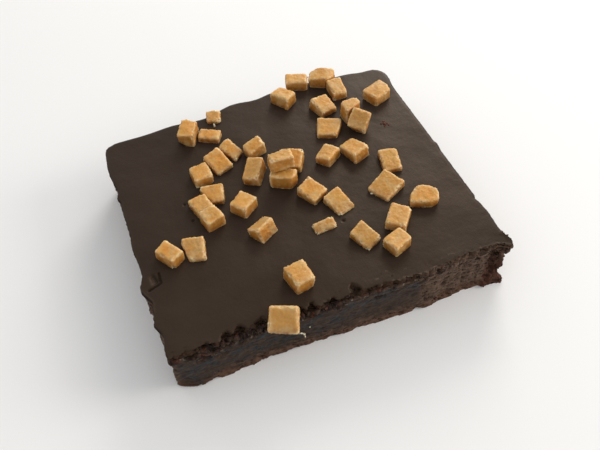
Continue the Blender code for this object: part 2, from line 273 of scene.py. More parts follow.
def close_flat(piece, wanted):
    """Makes one face of the many that lie flat where they are wanted and hidden."""
    select_vertices(piece, wanted)
    bpy.ops.mesh.select_mode(type="FACE")
    bpy.ops.mesh.dissolve_faces()
    bpy.ops.object.mode_set(mode="OBJECT")


def well_inside(place, margins):
    """Whether a place lies this far inside the solids' box, all in millimetres."""
    left, right, front, back = margins
    low, high = solid_box
    across = low.x / MM + left < place.x < high.x / MM - right
    return across and low.y / MM + front < place.y < high.y / MM - back


def finish_piece(piece, material, slot, *solids):
    """Gives a piece its material, sets it on the body and lets it stand for its solids."""
    piece.data.materials.clear()
    piece.data.materials.append(material)
    pick(piece)
    bpy.ops.object.shade_smooth()
    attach(piece, "root")
    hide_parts(*solids)


def place_in_mesh(piece):
    """Puts a piece's place and turn in its mesh, with the piece itself at the origin."""
    pick(piece)
    bpy.ops.object.transform_apply(location=True, rotation=True, scale=True)


# Relief


def where_and_facing(tree):
    """The places on a mesh, in millimetres, and the way that it faces there."""
    position = add_node(tree, "GeometryNodeInputPosition")
    place = add_node(tree, "ShaderNodeVectorMath", SCALE, {0: position, "Scale": 1 / MM})
    return place, add_node(tree, "GeometryNodeInputNormal")


def moved_and_kept(tree, mesh, normal, height, lift=(0.0, 0.0, 0.0), **shares):
    """Swells a mesh along its normals and lifts it, in millimetres, and keeps shares by name."""
    swell = add_node(tree, "ShaderNodeVectorMath", SCALE, {0: normal, "Scale": height})
    push = add_node(tree, "ShaderNodeVectorMath", ADD, {0: swell, 1: lift})
    offset = add_node(tree, "ShaderNodeVectorMath", SCALE, {0: push, "Scale": MM})
    moved = add_node(tree, "GeometryNodeSetPosition", inputs={"Geometry": mesh, "Offset": offset})
    for name, value in shares.items():
        moved = add_node(
            tree,
            "GeometryNodeStoreNamedAttribute",
            {"data_type": "FLOAT", "domain": "POINT"},
            {"Geometry": moved, "Name": name, "Value": value},
        )
    return moved.outputs[0]


def knocked(tree, place, fineness, reach):
    """Places pushed about by noise, which makes what is drawn with them ragged."""
    pushed = add_node(tree, "ShaderNodeTexNoise", inputs={"Vector": place, "Scale": fineness, "Detail": 3.0})
    pushed = add_node(tree, "ShaderNodeVectorMath", TAKE, {0: pushed.outputs["Color"], 1: (0.5, 0.5, 0.5)})
    return add_node(tree, "ShaderNodeVectorMath", TIMES_ADD, {0: pushed, 1: (reach, reach, reach), 2: place})


def found_or_near(tree, found, away, inner, outer):
    """What was found, and 1 where away is under the inner distance, fading to 0 at the outer."""
    distance = away.outputs["Value"]
    near = add_node(tree, "ShaderNodeMapRange", SMOOTH, {0: distance, 1: inner, 2: outer, 3: 1.0, 4: 0.0})
    return add_node(tree, "ShaderNodeMath", LARGER, {0: near, 1: found})


def torn_holes(tree, place):
    """The holes torn in the front, 1 inside and 0 outside, from places in millimetres."""
    ragged = knocked(tree, place, fineness=0.6, reach=2.6)
    found = 0.0
    for along, height, width, tall in FRONT_HOLES:
        away = add_node(tree, "ShaderNodeVectorMath", TAKE, {0: ragged, 1: (along, FRONT_AT, height)})
        away = add_node(
            tree, "ShaderNodeVectorMath", {"operation": "DIVIDE"}, {0: away, 1: (width, HOLE_REACH, tall)}
        )
        away = add_node(tree, "ShaderNodeVectorMath", {"operation": "LENGTH"}, {0: away})
        found = found_or_near(tree, found, away, 0.75, 1.15)
    return found


def long_pores(tree, place):
    """Long low pores in the cut crumb, a millimetre or two wide, 1 inside and 0 outside."""
    axes = add_node(tree, "ShaderNodeSeparateXYZ", inputs={0: place})
    round_side = add_node(tree, "ShaderNodeMath", ADD, {0: axes.outputs["X"], 1: axes.outputs["Y"]})
    on_cut = add_node(tree, "ShaderNodeCombineXYZ", inputs={"X": round_side, "Y": axes.outputs["Z"]})
    found = 0.0
    for (fine_along, fine_up), share_open, depth in PORES:
        stretched = add_node(tree, "ShaderNodeVectorMath", TIMES, {0: on_cut, 1: (fine_along, fine_up, 0.0)})
        bent = knocked(tree, stretched, fineness=1.2, reach=0.22)
        bubbles = add_node(
            tree, "ShaderNodeTexVoronoi", {"voronoi_dimensions": "2D"}, {"Vector": bent, "Scale": 1.0}
        )
        chance = add_node(tree, "ShaderNodeSeparateXYZ", inputs={0: bubbles.outputs["Color"]})
        reach = add_node(
            tree,
            "ShaderNodeMapRange",
            inputs={0: chance.outputs[0], 1: 1.0 - share_open, 2: 1.0, 3: 0.0, 4: 0.45},
        )
        inside = add_node(tree, "ShaderNodeMath", TAKE, {0: reach, 1: bubbles.outputs["Distance"]})
        hollow = add_node(
            tree, "ShaderNodeMapRange", SMOOTH, {0: inside, 1: -0.02, 2: 0.04, 3: 0.0, 4: depth}
        )
        found = add_node(tree, "ShaderNodeMath", LARGER, {0: hollow, 1: found})
    return found


def band_bites(tree, place):
    """Where crumb is missing in the torn band under the icing, 1 inside and 0 outside."""
    bites = add_node(
        tree, "ShaderNodeTexNoise", inputs={"Vector": place, "Scale": 0.5, "Detail": 3.0, "Roughness": 0.55}
    )
    return add_node(tree, "ShaderNodeMapRange", SMOOTH, {0: bites, 1: 0.5, 2: 0.54})


def print_groove(tree, place):
    """The thin grooves along the right and front edges of the print of a lost die, 1 inside."""
    wavering = knocked(tree, place, fineness=1.0, reach=0.5)
    found = 0.0
    for start, end in PRINT_GROOVES:
        run = Vector(end) - Vector(start)
        from_start = add_node(tree, "ShaderNodeVectorMath", TAKE, {0: wavering, 1: start})
        share = add_node(
            tree,
            "ShaderNodeVectorMath",
            {"operation": "DOT_PRODUCT"},
            {0: from_start, 1: run / run.length_squared},
        )
        share = add_node(tree, "ShaderNodeClamp", inputs={0: share.outputs["Value"]})
        nearest = add_node(tree, "ShaderNodeVectorMath", SCALE, {0: run, "Scale": share})
        away = add_node(tree, "ShaderNodeVectorMath", {"operation": "DISTANCE"}, {0: from_start, 1: nearest})
        found = found_or_near(tree, found, away, 0.22, 0.55)
    return found


def icing_pits(tree, place):
    """A few small round pits in the icing, 1 inside."""
    found = 0.0
    for pit in ICING_PITS:
        away = add_node(tree, "ShaderNodeVectorMath", {"operation": "DISTANCE"}, {0: place, 1: pit})
        found = found_or_near(tree, found, away, 0.2, 0.6)
    return found


def crumb_relief(tree, mesh):
    """Pores and crags over the cut sides, flattened where the knife smeared the front."""
    place, normal = where_and_facing(tree)
    axes = add_node(tree, "ShaderNodeSeparateXYZ", inputs={0: place})
    along, back, up = (axes.outputs[axis] for axis in "XYZ")
    facing = add_node(tree, "ShaderNodeSeparateXYZ", inputs={0: normal})
    level = add_node(tree, "ShaderNodeMath", SIZE, {0: facing.outputs["Z"]})

    # Cut sides, away from the flat underside, and the front among them
    side = add_node(tree, "ShaderNodeMapRange", SMOOTH, {0: level, 1: 0.55, 2: 0.9, 3: 1.0, 4: 0.0})
    off_base = add_node(tree, "ShaderNodeMapRange", SMOOTH, {0: up, 1: 0.02, 2: 0.5})
    cut = add_node(tree, "ShaderNodeMath", TIMES, {0: side, 1: off_base})
    front = add_node(tree, "ShaderNodeMapRange", SMOOTH, {0: back, 1: -35.0, 2: -33.5, 3: 1.0, 4: 0.0})

    # Noises, some drawn out along the cut: grains to a millimetre each way, detail and roughness
    waver, blotches, torn, scratches, crags = (
        add_node(
            tree,
            "ShaderNodeTexNoise",
            inputs={
                "Vector": add_node(tree, "ShaderNodeVectorMath", TIMES, {0: place, 1: grains}),
                "Scale": 1.0,
                "Detail": detail,
                "Roughness": roughness,
            },
        )
        for grains, detail, roughness in (
            ((0.16, 0.16, 0.8), 4.0, 0.65),
            ((0.24, 0.24, 0.55), 5.0, 0.65),
            ((0.8, 0.8, 0.8), 5.0, 0.7),
            ((0.25, 0.25, 2.2), 4.0, 0.7),
            ((0.45, 0.45, 0.45), 3.0, 0.5),
        )
    )

    # Every edge on the front wavers
    shift = add_node(tree, "ShaderNodeMapRange", FREE, {0: waver, 3: -5.0, 4: 5.0})
    wandered = add_node(tree, "ShaderNodeMath", ADD, {0: up, 1: shift})

    # The flat stretch of the front
    from_left = add_node(tree, "ShaderNodeMapRange", SMOOTH, {0: along, 1: -44.5, 2: -42.5})
    to_right = add_node(tree, "ShaderNodeMapRange", SMOOTH, {0: along, 1: 19.0, 2: 22.5, 3: 1.0, 4: 0.0})
    near_left = add_node(tree, "ShaderNodeMapRange", SMOOTH, {0: along, 1: -43.0, 2: -33.0, 3: 2.2, 4: 0.0})
    lifted = add_node(tree, "ShaderNodeMath", ADD, {0: wandered, 1: near_left})
    over_foot = add_node(tree, "ShaderNodeMapRange", SMOOTH, {0: lifted, 1: 1.4, 2: 3.4})
    falls = add_node(tree, "ShaderNodeMapRange", SMOOTH, {0: along, 1: -44.0, 2: -37.0, 3: 2.4, 4: 0.0})
    rises = add_node(tree, "ShaderNodeMapRange", SMOOTH, {0: along, 1: -14.0, 2: 5.0, 3: 11.0, 4: 13.6})
    band_from = add_node(tree, "ShaderNodeMath", ADD, {0: falls, 1: rises})
    in_band = add_node(tree, "ShaderNodeMath", TAKE, {0: wandered, 1: band_from})
    band = add_node(tree, "ShaderNodeMapRange", SMOOTH, {0: in_band, 1: -0.4, 2: 0.8})
    under_band = add_node(tree, "ShaderNodeMath", TAKE, {0: 1.0, 1: band})
    flat = side
    for share in (front, from_left, to_right, over_foot, under_band):
        flat = add_node(tree, "ShaderNodeMath", TIMES, {0: flat, 1: share})

    # The dark streak of dragged chocolate, whose lower edge climbs to the right
    # In the material its bluish grey is partly a painted reflection of the sky
    streak_from = add_node(tree, "ShaderNodeMapRange", SMOOTH, {0: along, 1: -12.0, 2: 20.0, 3: 2.6, 4: 8.8})
    in_streak = add_node(tree, "ShaderNodeMath", TAKE, {0: lifted, 1: streak_from})
    streak = add_node(tree, "ShaderNodeMapRange", SMOOTH, {0: in_streak, 1: -1.0, 2: 2.6})
    blotchy = add_node(tree, "ShaderNodeMapRange", SMOOTH, {0: blotches, 1: 0.47, 2: 0.56})
    for share in (side, front, from_left, to_right, under_band, blotchy):
        streak = add_node(tree, "ShaderNodeMath", TIMES, {0: streak, 1: share})

    # Torn crumb, coarse and fine, with its pores
    pores = long_pores(tree, place)
    torn_height = add_node(tree, "ShaderNodeMapRange", FREE, {0: torn, 3: -0.8, 4: 0.8})
    rough = add_node(tree, "ShaderNodeMath", TIMES_ADD, {0: pores, 1: -0.7, 2: torn_height})
    spared = add_node(tree, "ShaderNodeMapRange", inputs={0: flat, 3: 1.0, 4: 0.16})
    rough = add_node(tree, "ShaderNodeMath", TIMES, {0: rough, 1: spared})

    # Scratches that the knife drew along the flat stretch
    scratch_height = add_node(tree, "ShaderNodeMapRange", FREE, {0: scratches, 3: -0.4, 4: 0.4})
    scratch_height = add_node(tree, "ShaderNodeMath", TIMES, {0: scratch_height, 1: flat})
    rough = add_node(tree, "ShaderNodeMath", ADD, {0: rough, 1: scratch_height})

    # Crumbs that reach up to the icing in front, with holes between them
    high = add_node(tree, "ShaderNodeMapRange", SMOOTH, {0: up, 1: 11.4, 2: 13.0})
    reach = add_node(tree, "ShaderNodeMapRange", inputs={0: front, 3: 0.35, 4: 1.3})
    rough = add_node(tree, "ShaderNodeMath", TIMES_ADD, {0: high, 1: reach, 2: rough})
    front_band = add_node(tree, "ShaderNodeMath", TIMES, {0: band, 1: front})
    thins_out = add_node(tree, "ShaderNodeMapRange", SMOOTH, {0: along, 1: 5.0, 2: 15.0, 3: 1.0, 4: 0.25})
    front_band = add_node(tree, "ShaderNodeMath", TIMES, {0: front_band, 1: thins_out})
    bitten = add_node(tree, "ShaderNodeMath", TIMES, {0: front_band, 1: band_bites(tree, place)})
    holes = add_node(tree, "ShaderNodeMath", LARGER, {0: torn_holes(tree, place), 1: bitten})
    rough = add_node(tree, "ShaderNodeMath", TIMES_ADD, {0: holes, 1: -1.6, 2: rough})

    # The broken corner at the right: craggy between the icing's tip and a foot that stands out
    slanted = add_node(tree, "ShaderNodeMath", TIMES_ADD, {0: up, 1: -0.17, 2: along})
    corner = add_node(tree, "ShaderNodeMapRange", SMOOTH, {0: slanted, 1: 38.5, 2: 39.7})
    corner = add_node(tree, "ShaderNodeMath", TIMES, {0: corner, 1: front})
    crags = add_node(tree, "ShaderNodeMapRange", FREE, {0: crags, 3: -2.2, 4: 2.2})
    rough = add_node(tree, "ShaderNodeMath", TIMES_ADD, {0: crags, 1: corner, 2: rough})
    towards_tip = add_node(tree, "ShaderNodeMapRange", SMOOTH, {0: up, 1: 10.5, 2: 14.3, 3: 0.0, 4: 1.1})
    towards_tip = add_node(tree, "ShaderNodeMath", TIMES, {0: towards_tip, 1: corner})

    # Depth in millimetres, outwards positive
    depth = add_node(tree, "ShaderNodeMath", TIMES, {0: rough, 1: cut})
    at_foot = add_node(tree, "ShaderNodeMapRange", SMOOTH, {0: up, 1: 1.5, 2: 4.0, 3: 0.8, 4: 0.0})
    at_foot = add_node(tree, "ShaderNodeMath", TIMES, {0: at_foot, 1: corner})
    out_in_front = add_node(tree, "ShaderNodeMath", ADD, {0: towards_tip, 1: at_foot})
    forwards = add_node(tree, "ShaderNodeMath", TIMES, {0: out_in_front, 1: -1.0})
    lean = add_node(tree, "ShaderNodeCombineXYZ", inputs={"X": towards_tip, "Y": forwards})
    kept = {"streak": streak, "flat": flat, "cut_side": side, "band": front_band, "corner": corner}
    return moved_and_kept(tree, mesh, normal, depth, lean, **kept)


def icing_relief(tree, mesh):
    """Soft waves over the icing, a crisp cut edge in front and at the left, and torn bites in it."""
    place, normal = where_and_facing(tree)
    axes = add_node(tree, "ShaderNodeSeparateXYZ", inputs={0: place})
    along, back, up = (axes.outputs[axis] for axis in "XYZ")
    facing = add_node(tree, "ShaderNodeSeparateXYZ", inputs={0: normal}).outputs["Z"]
    top = add_node(tree, "ShaderNodeMapRange", SMOOTH, {0: facing, 1: 0.5, 2: 0.95})
    level = add_node(tree, "ShaderNodeMath", SIZE, {0: facing})
    side = add_node(tree, "ShaderNodeMapRange", SMOOTH, {0: level, 1: 0.4, 2: 0.85, 3: 1.0, 4: 0.0})
    front = add_node(tree, "ShaderNodeMapRange", SMOOTH, {0: back, 1: -35.5, 2: -34.0, 3: 1.0, 4: 0.0})
    left = add_node(tree, "ShaderNodeMapRange", SMOOTH, {0: along, 1: -43.5, 2: -42.0, 3: 1.0, 4: 0.0})

    # Noises: grains to a millimetre, detail and roughness
    nibbles, waves, pocks, ragged = (
        add_node(
            tree,
            "ShaderNodeTexNoise",
            inputs={"Vector": place, "Scale": scale, "Detail": detail, "Roughness": roughness},
        )
        for scale, detail, roughness in (
            (0.6, 4.0, 0.65),
            (0.07, 1.5, 0.45),
            (0.45, 3.0, 0.5),
            (0.8, 4.0, 0.65),
        )
    )

    # The knife left a sharp edge: the rounding there is filled up to a hair under the top
    cut = add_node(tree, "ShaderNodeMath", LARGER, {0: front, 1: left})
    rim = add_node(tree, "ShaderNodeMapRange", SMOOTH, {0: facing, 1: 0.05, 2: 0.4})
    missing = add_node(tree, "ShaderNodeMath", TAKE, {0: ICING_TOP - 0.02, 1: up})
    missing = add_node(tree, "ShaderNodeMath", LARGER, {0: missing, 1: 0.0})
    for share in (cut, rim):
        missing = add_node(tree, "ShaderNodeMath", TIMES, {0: missing, 1: share})
    under = add_node(tree, "ShaderNodeMapRange", SMOOTH, {0: facing, 1: -0.8, 2: -0.3, 3: -0.45, 4: 0.0})
    raised = add_node(tree, "ShaderNodeMath", ADD, {0: missing, 1: under})

    # The front right corner hangs out a little
    at_corner = add_node(tree, "ShaderNodeMapRange", SMOOTH, {0: along, 1: 40.0, 2: 45.0})
    at_front = add_node(tree, "ShaderNodeMapRange", SMOOTH, {0: back, 1: -39.0, 2: -34.5, 3: 1.0, 4: 0.0})
    hangs = add_node(tree, "ShaderNodeMath", TIMES, {0: at_corner, 1: at_front})
    upper = add_node(tree, "ShaderNodeMapRange", SMOOTH, {0: up, 1: 14.8, 2: 16.2})
    hangs = add_node(tree, "ShaderNodeMath", TIMES, {0: hangs, 1: upper})
    hangs_right = add_node(tree, "ShaderNodeMath", TIMES, {0: hangs, 1: 0.7})
    hangs_front = add_node(tree, "ShaderNodeMath", TIMES, {0: hangs, 1: -0.4})
    drops = add_node(tree, "ShaderNodeMath", TIMES_ADD, {0: hangs, 1: -0.4, 2: raised})
    nibbled = add_node(tree, "ShaderNodeMapRange", FREE, {0: nibbles, 3: -1.3, 4: 1.6})
    forwards = add_node(tree, "ShaderNodeMath", TIMES_ADD, {0: nibbled, 1: front, 2: hangs_front})
    lift = add_node(tree, "ShaderNodeCombineXYZ", inputs={"X": hangs_right, "Y": forwards, "Z": drops})

    # Waves and the shallowest pocks over the top
    wave_height = add_node(tree, "ShaderNodeMapRange", FREE, {0: waves, 3: -0.35, 4: 0.35})
    pock_height = add_node(tree, "ShaderNodeMapRange", FREE, {0: pocks, 3: -0.05, 4: 0.05})
    height = add_node(tree, "ShaderNodeMath", ADD, {0: wave_height, 1: pock_height})

    # The print of a lost die and a few small pits
    groove = print_groove(tree, place)
    height = add_node(tree, "ShaderNodeMath", TIMES_ADD, {0: groove, 1: -0.3, 2: height})
    pits = icing_pits(tree, place)
    height = add_node(tree, "ShaderNodeMath", TIMES_ADD, {0: pits, 1: -0.35, 2: height})
    height = add_node(tree, "ShaderNodeMath", TIMES, {0: height, 1: top})

    # The torn edge, deep on the front and shallow elsewhere
    ragged_height = add_node(tree, "ShaderNodeMapRange", FREE, {0: ragged, 3: -1.5, 4: 1.3})
    pores = long_pores(tree, place)
    pores = add_node(tree, "ShaderNodeMath", TIMES, {0: pores, 1: front})
    torn = add_node(tree, "ShaderNodeMath", TIMES_ADD, {0: pores, 1: -0.8, 2: ragged_height})
    eased = add_node(tree, "ShaderNodeMapRange", inputs={0: front, 3: 0.2, 4: 1.0})
    for share in (eased, side):
        torn = add_node(tree, "ShaderNodeMath", TIMES, {0: torn, 1: share})
    height = add_node(tree, "ShaderNodeMath", ADD, {0: height, 1: torn})
    holes = torn_holes(tree, place)
    height = add_node(tree, "ShaderNodeMath", TIMES_ADD, {0: holes, 1: -1.3, 2: height})
    return moved_and_kept(tree, mesh, normal, height, lift, cut_face=side, front_face=front)


def fudge_relief(tree, mesh):
    """Sugary grain over the dice and chips along their edges, kept for the material too."""
    place, normal = where_and_facing(tree)

    # Blurred normals are shorter near an edge: once close to it, and once over a wider margin
    blurred, spread = (
        add_node(
            tree,
            "GeometryNodeBlurAttribute",
            {"data_type": "FLOAT_VECTOR"},
            {"Value": normal, "Iterations": times},
        )
        for times in (3, 14)
    )
    found = []
    for normals, start, end in ((blurred, 0.86, 0.97), (spread, 0.72, 0.99)):
        length = add_node(tree, "ShaderNodeVectorMath", {"operation": "LENGTH"}, {0: normals})
        reads = {0: length.outputs["Value"], 1: start, 2: end, 3: 1.0, 4: 0.0}
        found.append(add_node(tree, "ShaderNodeMapRange", SMOOTH, reads))
    edge, margin = found

    # Each die, and each of its faces, is a little lighter or deeper than the next
    island = add_node(tree, "GeometryNodeInputMeshIsland").outputs["Island Index"]
    apart = add_node(tree, "ShaderNodeMath", TIMES, {0: island, 1: 3.7})
    apart = add_node(tree, "ShaderNodeCombineXYZ", inputs={"X": apart})
    faced = add_node(tree, "ShaderNodeVectorMath", TIMES_ADD, {0: blurred, 1: (0.9, 0.9, 0.9), 2: apart})
    tone = add_node(tree, "ShaderNodeTexNoise", inputs={"Vector": faced, "Scale": 1.3, "Detail": 0.0})
    tone = add_node(tree, "ShaderNodeMapRange", inputs={0: tone, 1: 0.3, 2: 0.7})

    # Lumps over each die and chips along its edges: grains to a millimetre, detail and roughness
    lumps, chips = (
        add_node(
            tree,
            "ShaderNodeTexNoise",
            inputs={"Vector": place, "Scale": scale, "Detail": detail, "Roughness": roughness},
        )
        for scale, detail, roughness in ((0.45, 6.0, 0.85), (0.7, 4.0, 0.75))
    )
    lump_height = add_node(tree, "ShaderNodeMapRange", FREE, {0: lumps, 3: -0.4, 4: 0.6})
    chipped = add_node(tree, "ShaderNodeMapRange", SMOOTH, {0: chips, 1: 0.53, 2: 0.62})
    chipped = add_node(tree, "ShaderNodeMath", TIMES, {0: chipped, 1: edge})
    height = add_node(tree, "ShaderNodeMath", TIMES_ADD, {0: chipped, 1: -0.7, 2: lump_height})
    return moved_and_kept(tree, mesh, normal, height, edge=edge, margin=margin, tone=tone)


def scattered_crumbs(tree, mesh):
    """Small angular crumbs that cling to the torn band, the foot and the broken corner."""
    band, corner = (
        add_node(tree, "GeometryNodeInputNamedAttribute", {"data_type": "FLOAT"}, {"Name": name})
        for name in ("band", "corner")
    )
    position = add_node(tree, "GeometryNodeInputPosition")
    normal = add_node(tree, "GeometryNodeInputNormal")
    up = add_node(tree, "ShaderNodeSeparateXYZ", inputs={0: position}).outputs["Z"]
    facing = add_node(tree, "ShaderNodeSeparateXYZ", inputs={0: normal}).outputs["Z"]
    level = add_node(tree, "ShaderNodeMath", SIZE, {0: facing})
    side = add_node(tree, "ShaderNodeMapRange", inputs={0: level, 1: 0.6, 2: 0.8, 3: 1.0, 4: 0.0})
    foot = add_node(tree, "ShaderNodeMapRange", inputs={0: up, 1: 1.0 * MM, 2: 2.4 * MM, 3: 0.4, 4: 0.03})
    fewer = add_node(tree, "ShaderNodeMath", TIMES, {0: band, 1: 0.35})
    wanted = add_node(tree, "ShaderNodeMath", LARGER, {0: fewer, 1: foot})
    wanted = add_node(tree, "ShaderNodeMath", LARGER, {0: wanted, 1: corner})
    over_ground = add_node(tree, "ShaderNodeMapRange", inputs={0: up, 1: 0.5 * MM, 2: 0.8 * MM})
    for share in (side, over_ground):
        wanted = add_node(tree, "ShaderNodeMath", TIMES, {0: wanted, 1: share})
    points = add_node(
        tree,
        "GeometryNodeDistributePointsOnFaces",
        {"distribute_method": "POISSON"},
        {
            "Mesh": mesh,
            "Distance Min": CRUMB_SPACING * MM,
            "Density Max": CRUMBS_AT_MOST,
            "Density Factor": wanted,
            "Seed": 7,
        },
    )
    round_crumb = {"Radius": CRUMB_RADIUS * MM, "Subdivisions": 1}
    crumb = add_node(tree, "GeometryNodeMeshIcoSphere", inputs=round_crumb)
    turn, size = (
        add_node(
            tree,
            "FunctionNodeRandomValue",
            {"data_type": "FLOAT_VECTOR"},
            {"Min": least, "Max": most, "Seed": seed},
        )
        for least, most, seed in (
            ((0.0, 0.0, 0.0), (math.tau, math.tau, math.tau), 3),
            ((0.5, 0.4, 0.4), (1.5, 1.0, 0.9), 5),
        )
    )
    placed = add_node(
        tree,
        "GeometryNodeInstanceOnPoints",
        inputs={
            "Points": points.outputs["Points"],
            "Instance": crumb.outputs["Mesh"],
            "Rotation": turn,
            "Scale": size,
        },
    )
    real = add_node(tree, "GeometryNodeRealizeInstances", inputs={"Geometry": placed})
    where = add_node(tree, "ShaderNodeVectorMath", SCALE, {0: position, "Scale": 1 / MM})
    bumps = add_node(
        tree, "ShaderNodeTexNoise", inputs={"Vector": where, "Scale": 2.6, "Detail": 2.0, "Roughness": 0.6}
    )
    bump_height = add_node(tree, "ShaderNodeMapRange", FREE, {0: bumps, 3: -0.35, 4: 0.35})
    return moved_and_kept(tree, real, normal, bump_height)


def lump_relief(tree, mesh):
    """Knocks small lumps out of round."""
    place, normal = where_and_facing(tree)
    knocks = add_node(
        tree, "ShaderNodeTexNoise", inputs={"Vector": place, "Scale": 1.6, "Detail": 3.0, "Roughness": 0.6}
    )
    height = add_node(tree, "ShaderNodeMapRange", FREE, {0: knocks, 3: -0.4, 4: 0.4})
    return moved_and_kept(tree, mesh, normal, height)


# Materials


def new_material(name):
    """An empty material, and its tree."""
    made = bpy.data.materials.new(name)
    made.use_nodes = True
    made.node_tree.nodes.clear()
    return made, made.node_tree


def with_shader(made, inputs):
    """A material that ends in a shader with these inputs."""
    shader = add_node(made.node_tree, "ShaderNodeBsdfPrincipled", inputs=inputs)
    add_node(made.node_tree, "ShaderNodeOutputMaterial", inputs={"Surface": shader})
    return made


def tinted_by(tree, noise, start, end, dark, light):
    """A colour that goes from dark to light as a noise goes from its start to its end."""
    share = add_node(tree, "ShaderNodeMapRange", inputs={0: noise, 1: start, 2: end})
    return add_node(tree, "ShaderNodeMix", MIX, {0: share, 6: colour(dark), 7: colour(light)})


def set_chocolate_icing():
    """Chocolate icing, poured and set: satin on top, matt and grainy where the knife cut it."""
    made, tree = new_material("set_chocolate_icing")
    place = add_node(tree, "ShaderNodeTexCoord").outputs["Object"]
    axes = add_node(tree, "ShaderNodeSeparateXYZ", inputs={0: place})
    in_mm = add_node(tree, "ShaderNodeVectorMath", SCALE, {0: place, "Scale": 1 / MM})
    face, front = (
        add_node(tree, "ShaderNodeAttribute", {"attribute_name": name}).outputs["Fac"]
        for name in ("cut_face", "front_face")
    )

    # Clouds about 11 mm across and cut grain of about half a millimetre
    cloud, grain = (
        add_node(
            tree,
            "ShaderNodeTexNoise",
            inputs={"Vector": place, "Scale": scale, "Detail": detail, "Roughness": roughness},
        )
        for scale, detail, roughness in ((90.0, 4.0, 0.55), (1800.0, 3.0, 0.7))
    )
    base = tinted_by(tree, cloud, 0.3, 0.7, "#2C241F", "#312823")
    crumbly = tinted_by(tree, grain, 0.3, 0.7, "#2A1B13", "#46342A")
    paler = tinted_by(tree, grain, 0.3, 0.7, "#3A2B23", "#655042")
    to_right = add_node(tree, "ShaderNodeMapRange", SMOOTH, {0: axes.outputs["X"], 1: 16 * MM, 2: 25 * MM})
    crumbly = add_node(tree, "ShaderNodeMix", MIX, {0: to_right, 6: crumbly, 7: paler})
    # The cut sides other than the front get painted shade, a near black brown
    darker = add_node(tree, "ShaderNodeMix", MIX, {0: front, 6: colour("#1C1410"), 7: crumbly})
    edged = add_node(tree, "ShaderNodeMix", MIX, {0: face, 6: base, 7: darker})

    # Pores, holes, the print and the pits get painted shade inside
    pores = add_node(tree, "ShaderNodeMath", TIMES, {0: long_pores(tree, in_mm), 1: face})
    pores = add_node(tree, "ShaderNodeMath", TIMES, {0: pores, 1: front})
    bitten = add_node(tree, "ShaderNodeMath", LARGER, {0: pores, 1: torn_holes(tree, in_mm)})
    for dent in (print_groove(tree, in_mm), icing_pits(tree, in_mm)):
        bitten = add_node(tree, "ShaderNodeMath", LARGER, {0: bitten, 1: dent})
    shaded = add_node(tree, "ShaderNodeMix", MIX, {0: bitten, 6: edged, 7: colour("#120A07")})
    satin = add_node(tree, "ShaderNodeMapRange", inputs={0: cloud, 1: 0.3, 2: 0.7, 3: 0.42, 4: 0.5})
    rougher = add_node(tree, "ShaderNodeMath", LARGER, {0: satin, 1: face})
    bump = add_node(tree, "ShaderNodeBump", inputs={"Strength": 0.6, "Distance": 0.06 * MM, "Height": grain})
    return with_shader(
        made,
        {
            "Base Color": shaded,
            "Roughness": rougher,
            "Normal": bump,
            "IOR": 1.46,
            "Specular IOR Level": 0.25,
            "Specular Tint": colour("#FFD2A2"),
        },
    )


